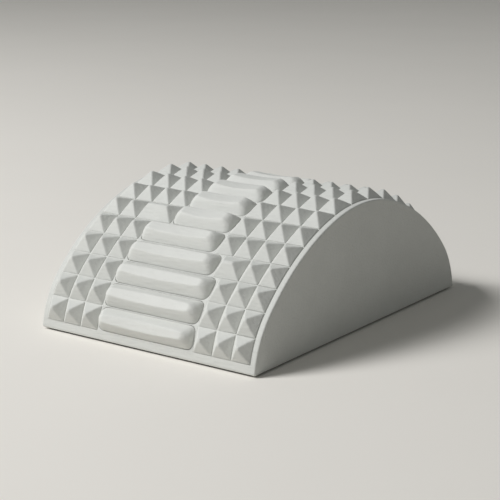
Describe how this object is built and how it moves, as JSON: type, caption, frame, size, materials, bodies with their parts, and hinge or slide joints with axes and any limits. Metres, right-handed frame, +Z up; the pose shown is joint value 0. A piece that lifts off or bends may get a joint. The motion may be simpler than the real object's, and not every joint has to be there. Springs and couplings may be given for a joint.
{
  "type": "foam back stretcher",
  "caption": "Arched foam block to lie on and stretch the back, with bars down the middle of its arch and mats of small pyramids on both sides.",
  "frame": {"origin": "middle of the footprint, on the floor", "axes": "+X across the arch along the bars, +Y along the base from the front foot to the back foot, +Z up"},
  "size_m": [0.25, 0.3674, 0.1337],
  "materials": {
    "block_foam": "smooth matte skin of closed-cell foam",
    "mat_foam": "smooth matte skin of closed-cell foam",
    "bar_foam": "smooth satin skin of closed-cell foam",
    "grip_rubber": "matte"
  },
  "bodies": {
    "root": {"arch_block": "block_foam", "base_sheet": "grip_rubber", "pyramid_mat_left": "mat_foam", "pyramid_mat_right": "mat_foam", "spine_bar_01": "bar_foam", "spine_bar_02": "bar_foam", "spine_bar_03": "bar_foam", "spine_bar_04": "bar_foam", "spine_bar_05": "bar_foam", "spine_bar_06": "bar_foam", "spine_bar_07": "bar_foam", "spine_bar_08": "bar_foam", "spine_bar_09": "bar_foam", "spine_bar_10": "bar_foam", "spine_bar_11": "bar_foam", "spine_bar_12": "bar_foam", "spine_bar_13": "bar_foam", "spine_bar_14": "bar_foam", "spine_bar_15": "bar_foam", "spine_bar_16": "bar_foam", "spine_bar_17": "bar_foam"}
  },
  "joints": []
}
